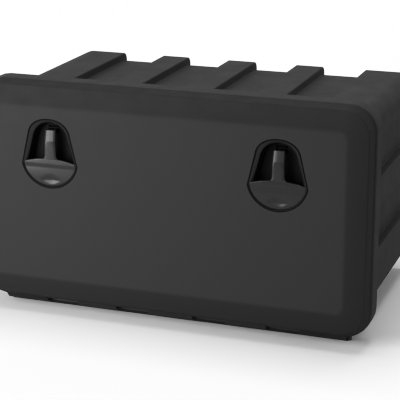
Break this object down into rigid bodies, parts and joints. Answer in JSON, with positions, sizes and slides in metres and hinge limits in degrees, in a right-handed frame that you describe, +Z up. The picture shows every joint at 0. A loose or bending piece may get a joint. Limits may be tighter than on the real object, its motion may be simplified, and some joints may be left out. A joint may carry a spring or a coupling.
{
  "type": "trailer tool box",
  "caption": "Ribbed plastic storage box with a wide bottom-hinged door on its long side, held shut by recessed pull latches.",
  "frame": {"origin": "on the floor, under the middle of the whole box's bounding box", "axes": "+X to the right seen from the door, along the hinge; +Y from the door to the back; +Z up"},
  "size_m": [0.8, 0.5, 0.465],
  "materials": {
    "body_plastic": "fine-grained black polyethylene",
    "door_plastic": "fine-grained black polyethylene, slightly smoother",
    "cup_plastic": "smooth glossy black",
    "handle_plastic": "satin black nylon",
    "seal_rubber": "soft black rubber",
    "zinc_plated_steel": "bright zinc plate",
    "stainless_steel": "plain stainless"
  },
  "bodies": {
    "body": {"body_shell": "body_plastic", "hinge_rod": "stainless_steel", "hinge_rod_cap_left": "handle_plastic", "keeper_left": "zinc_plated_steel", "keeper_screw_left_inner": "stainless_steel", "keeper_screw_left_outer": "stainless_steel", "hinge_rod_cap_right": "handle_plastic", "keeper_right": "zinc_plated_steel", "keeper_screw_right_inner": "stainless_steel", "keeper_screw_right_outer": "stainless_steel"},
    "door": {"door_outer_panel": "door_plastic", "door_inner_panel": "door_plastic", "door_seal": "seal_rubber", "panel_screw_left_low": "stainless_steel", "panel_screw_left_middle": "stainless_steel", "panel_screw_left_high": "stainless_steel", "panel_screw_inner_left_low": "stainless_steel", "panel_screw_inner_left_high": "stainless_steel", "latch_cup_left": "cup_plastic", "latch_pin_left": "stainless_steel", "latch_spring_left": "stainless_steel", "cup_screw_left_inner_low": "stainless_steel", "cup_screw_left_outer_low": "stainless_steel", "cup_screw_left_inner_high": "stainless_steel", "cup_screw_left_outer_high": "stainless_steel", "panel_screw_right_low": "stainless_steel", "panel_screw_right_middle": "stainless_steel", "panel_screw_right_high": "stainless_steel", "panel_screw_inner_right_low": "stainless_steel", "panel_screw_inner_right_high": "stainless_steel", "latch_cup_right": "cup_plastic", "latch_pin_right": "stainless_steel", "latch_spring_right": "stainless_steel", "cup_screw_right_inner_low": "stainless_steel", "cup_screw_right_outer_low": "stainless_steel", "cup_screw_right_inner_high": "stainless_steel", "cup_screw_right_outer_high": "stainless_steel"},
    "latch_left": {"latch_handle_left": "handle_plastic", "latch_hook_left": "zinc_plated_steel", "hook_screw_left_inner": "stainless_steel", "hook_screw_left_outer": "stainless_steel"},
    "latch_right": {"latch_handle_right": "handle_plastic", "latch_hook_right": "zinc_plated_steel", "hook_screw_right_inner": "stainless_steel", "hook_screw_right_outer": "stainless_steel"}
  },
  "joints": [
    {"name": "door_hinge", "type": "hinge", "parent": "body", "child": "door", "pos_m": [0, -0.179, 0.008], "axis": [1, 0, 0], "range_deg": [0, 95]},
    {"name": "latch_left_pull", "type": "hinge", "parent": "door", "child": "latch_left", "pos_m": [-0.2287, -0.217, 0.377], "axis": [-1, 0, 0], "range_deg": [0, 30], "stiffness_Nm_per_rad": 0.5, "springref_deg": -20.05},
    {"name": "latch_right_pull", "type": "hinge", "parent": "door", "child": "latch_right", "pos_m": [0.2287, -0.217, 0.377], "axis": [-1, 0, 0], "range_deg": [0, 30], "stiffness_Nm_per_rad": 0.5, "springref_deg": -20.05}
  ]
}
